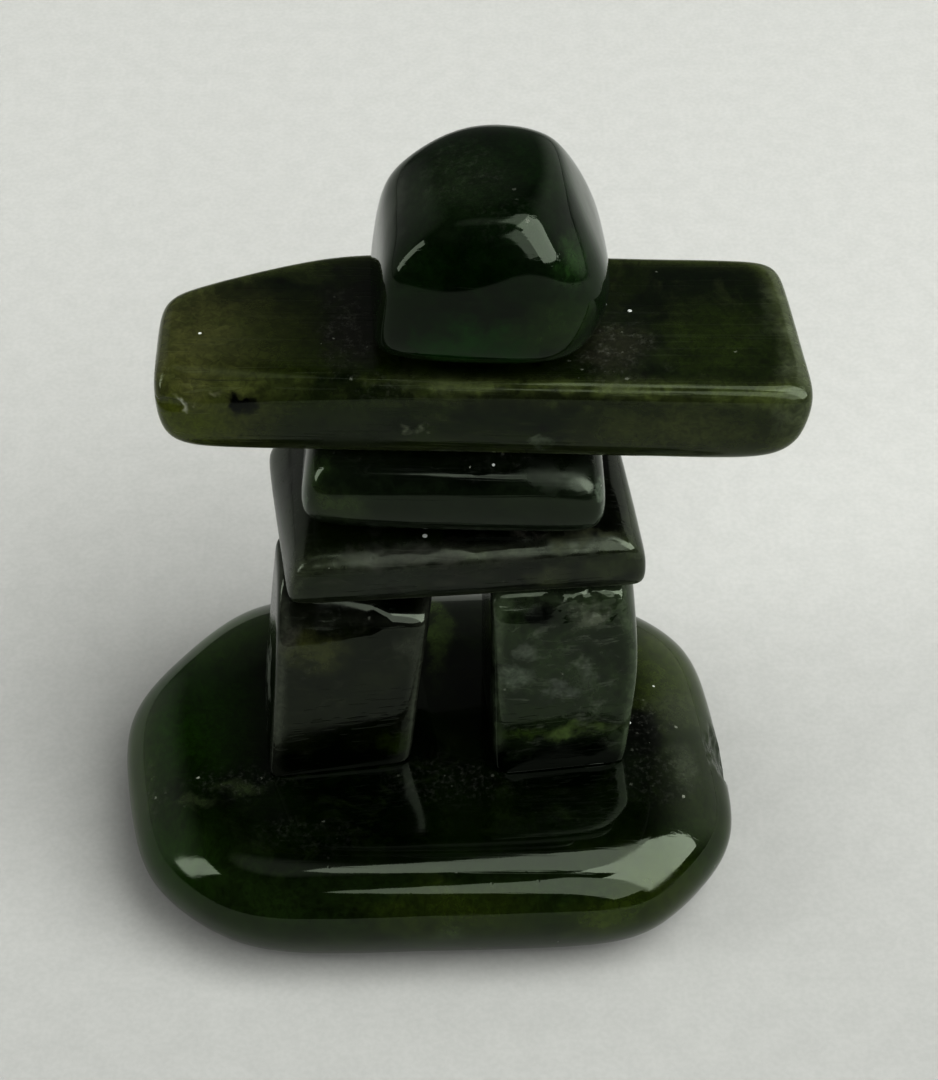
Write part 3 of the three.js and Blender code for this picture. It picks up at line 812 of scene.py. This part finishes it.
# The worn edge is a plane this far out, which sinks by 0.06 a millimetre from x 20 to x -26
edge_facing = (-0.02, -0.66, 0.75)
edge_distance = 51.1 - 0.06 * np.clip(20 - arms_points[:, 0], 0, 46)
arms_relief -= planed(arms_points @ edge_facing - edge_distance, crispness=3)
arms_relief += chip(arms_points, (-27, -1.5, 62.6), (4.5, 1.6, 0.7), depth=0.45, seed=65)
stone_piece("arms_stone", "arms", arms_stone, arms_relief, arms_jade)


# Head: a block of the darkest, cleanest green, cut to many small flats like a rough gem.
# It is glued near the middle of the arms and has the best polish of the stones above the legs.

head_stone = tumbled_stone(
    size=(24.1, 23.9, 17.4),
    flats={
        "top": (-0.07, -0.06, 1.03),
        "top left": (-0.25, 0.03, 0.84),
        "top right": (-0.11, 0.03, 0.94),
        "bottom": (0, -0.08, -1),
        "left": (-1.23, -0.04, 0.13),
        "left bevel": (-0.84, -0.08, 0.77),
        "front left": (-0.34, -0.75, 0.05),
        "front": (0.11, -0.85, 0.1),
        "front right": (0.51, -0.59, 0),
        "front low": (-0.06, -0.71, -0.2),
        "front brow": (-0.15, -0.74, 0.48),
        "right brow": (0.76, -0.36, 0.46),
        "right": (0.84, 0.08, -0.08),
        "right strip": (1.05, 0.08, 0.33),
        "right low": (0.77, -0.16, -0.22),
        "back": (-0.22, 0.77, 0.1),
        "back low": (-0.32, 0.8, -0.13),
        "back right": (0.3, 0.64, 0.13),
        "back brow": (-0.07, 0.54, 0.54),
        "back left brow": (-0.6, 0.57, 0.39),
        "back right brow": (0.36, 0.53, 0.44),
    },
    radius=2.2,
    ground=(GRINDING, 0),
)
set_on_figure(head_stone, "head", turn=0)
head_jade = jade_material(
    "head jade",
    body={"Deep": (0.0003, 0.0035, 0.0003, 1), "Live": (0.002, 0.011, 0.0008, 1),
          "Wisp": (0.012, 0.02, 0.01, 1), "Wisps": 0.2, "Cloud_Scale": 90.0, "Inclusions": 0.2},
    polish={"Roughness": 0.05, "Haze": 0.08, "Scratches": 0.2, "Pits": 0.2, "Dust": 0.4},
    rim=(0.008, 0.016, 0.006),
    marks={
        # Painted reflection of the pale wall on the left
        "painted reflection on the left bevel": ((0.04, 0.048, 0.035), (-2.5, 11.4, 79.5), (2.5, 9, 4), 0.8),
        "green right brow": ((0.02, 0.046, 0.013), (14.8, 2.6, 78.6), (3.2, 3.6, 4), 1.0),
        "dull top": ((0.012, 0.022, 0.008), (3, 9, 83), (9, 9, 3.5), 0.9),
        "green lower front": ((0.003, 0.034, 0.002), (5, -2, 70), (11, 4, 5.5), 0.9),
        "light green, lower right": ((0.014, 0.03, 0.006), (13.8, 0, 72), (7, 3, 4), 0.8),
    },
    scuffed={
        "top": ((3, 11, 83), (8, 8, 3), 0.35),
        "front of the top": ((8, 4, 82.5), (5, 4, 3), 0.25),
    },
    specks=[((14.4, -0.3, 72.8), 0.25)],
    refraction=1.49,
)
head_relief = polish_waves(head_stone["points"], seed=71, depth=0.03)
head_relief += 0.012 * humps(head_stone["points"], cell=2.6, seed=75)
stone_piece("head_stone", "head", head_stone, head_relief, head_jade)


# Stage: a sheet of pale paper in a room with a tall window on the front right and a narrow one on the left.
# Pale walls behind and beside the figure are dim, and the room in front is dark. The camera looks down.
# Sizes of the stage are in metres.

paper_reach = 3.0
paper_front_grey = 0.378
paper_back_grey = 0.452
paper_shading_reach = 0.06
paper_mesh = bpy.data.meshes.new("paper")
paper_mesh.from_pydata(
    [(-paper_reach, -paper_reach, 0), (paper_reach, -paper_reach, 0), (paper_reach, paper_reach, 0),
     (-paper_reach, paper_reach, 0)],
    [],
    [(0, 1, 2, 3)],
)
paper = bpy.data.objects.new("paper", paper_mesh)
bpy.context.scene.collection.objects.link(paper)
paper_material = bpy.data.materials.new("paper")
paper_material.use_nodes = True
tree = paper_material.node_tree
paper_shader = tree.nodes["Principled BSDF"]
paper_shader.inputs["Roughness"].default_value = 0.9
paper_shader.inputs["Specular IOR Level"].default_value = 0.2
paper_place = add_node(tree, "ShaderNodeTexCoord").outputs["Object"]
paper_depth = add_node(tree, "ShaderNodeSeparateXYZ", Vector=paper_place).outputs["Y"]
# Painted shade: the paper is darker towards the front than behind the figure
shading = (-paper_shading_reach, paper_shading_reach, paper_front_grey, paper_back_grey)
grey = range_node(tree, paper_depth, *shading)
for fibre_scale, share in ((300.0, 0.015), (1500.0, 0.02)):
    fibre = noise_node(tree, paper_place, fibre_scale, detail=2.0)[0]
    grey = math_node(tree, "MULTIPLY", grey, range_node(tree, fibre, 0.3, 0.7, 1 - share, 1 + share))

# The paper is faintly yellow
green = math_node(tree, "MULTIPLY", grey, 1.012)
blue = math_node(tree, "MULTIPLY", grey, 0.972)
tint = add_node(tree, "ShaderNodeCombineColor", Red=grey, Green=green, Blue=blue).outputs[0]
tree.links.new(tint, paper_shader.inputs["Base Color"])
paper_mesh.materials.append(paper_material)

LAMP_DISTANCE = 1.5


def sky_direction(azimuth, elevation):
    """Unit vector of a direction: azimuth 0 is in front of the figure, 90 on its right."""
    turn, rise = math.radians(azimuth), math.radians(elevation)
    return np.array([math.cos(rise) * math.sin(turn), -math.cos(rise) * math.cos(turn), math.sin(rise)])


def window(name, azimuth, elevation, width, height, radiance, across=0.0, up=0.0):
    """A soft rectangle of light square to a direction, shifted across and up, in shares of its distance."""
    turn, rise = math.radians(azimuth), math.radians(elevation)
    right = np.array([math.cos(turn), math.sin(turn), 0])
    above = np.array([-math.sin(rise) * math.sin(turn), math.sin(rise) * math.cos(turn), math.cos(rise)])
    data = bpy.data.lights.new(name, "AREA")
    data.shape = "RECTANGLE"
    data.size = width * LAMP_DISTANCE
    data.size_y = height * LAMP_DISTANCE
    data.energy = radiance * math.pi * data.size * data.size_y
    lamp = bpy.data.objects.new(name, data)
    lamp.location = (sky_direction(azimuth, elevation) + across * right + up * above) * LAMP_DISTANCE
    lamp.rotation_euler = (math.pi / 2 - rise, 0, turn)
    lamp.visible_camera = False
    bpy.context.scene.collection.objects.link(lamp)
    return lamp


def fill(name, azimuth, elevation, size, radiance):
    """Soft light from a pale wall that brightens shadows and leaves no reflection."""
    lamp = window(name, azimuth, elevation, width=size, height=size, radiance=radiance)
    lamp.visible_glossy = False


# The front right window has a lower and an upper pane, a shaded one on their left and its head above
window("window, lower", 60, 42, width=0.81, height=0.91, radiance=5.9, across=0.155, up=-0.02)
window("window, upper", 60, 42, width=0.68, height=0.31, radiance=5.9, across=0.22, up=0.59)
window("window, shaded pane", 60, 42, width=0.5, height=0.95, radiance=2.9, across=-0.5, up=0.165)
window("window head", 60, 42, width=0.66, height=0.66, radiance=3.2, across=0.27, up=1.07)
window("side window", -77, 32, width=0.26, height=0.65, radiance=4.6)
fill("left fill", -105, 25, size=1.3, radiance=0.7)
fill("front fill", -10, 15, size=1.2, radiance=1.3)

world = bpy.data.worlds.new("room")
world.use_nodes = True
room = world.node_tree
direction = add_node(room, "ShaderNodeTexCoord").outputs["Generated"]

# Each glow has an azimuth, an elevation, the angles from there at which it is full and gone, and a strength
dark_room = 0.03
glows = {
    "wall behind, right": (130, 15, 20, 50, 1.0),
    "wall behind, left": (-115, 15, 20, 45, 0.6),
    "wall behind": (180, 15, 15, 45, 0.3),
    "overhead, left": (-110, 78, 4, 14, 0.6),
}
walls = dark_room
for azimuth, elevation, full, gone, strength in glows.values():
    middle = tuple(sky_direction(azimuth, elevation))
    facing = vector_node(room, "DOT_PRODUCT", i0=direction, i1=middle)["Value"]
    limits = (math.cos(math.radians(gone)), math.cos(math.radians(full)))
    glow = range_node(room, facing, *limits, 0.0, strength)
    walls = math_node(room, "MAXIMUM", walls, glow)
room.links.new(walls, room.nodes["Background"].inputs["Strength"])
room.nodes["Background"].inputs["Color"].default_value = (1, 1, 0.98, 1)
bpy.context.scene.world = world

# The camera stands straight in front, and its lens is given in pixels of the photograph
photo_width = 938
focal_pixels = 2400
camera_elevation = 46
camera_distance = 0.262
camera_target = np.array([0.005, 0.0064, 0.036])
camera_data = bpy.data.cameras.new("camera")
camera_data.sensor_fit = "HORIZONTAL"
camera_data.sensor_width = 36
camera_data.lens = camera_data.sensor_width * focal_pixels / photo_width
camera_data.clip_start = 0.01
camera = bpy.data.objects.new("camera", camera_data)
camera.location = camera_target + sky_direction(0, camera_elevation) * camera_distance
camera.rotation_euler = (math.radians(90 - camera_elevation), 0, 0)
bpy.context.scene.collection.objects.link(camera)
bpy.context.scene.camera = camera

# The tone curve of the camera that took the photograph deepens dark tones
bpy.context.scene.view_settings.view_transform = "Standard"
bpy.context.scene.view_settings.gamma = 0.667
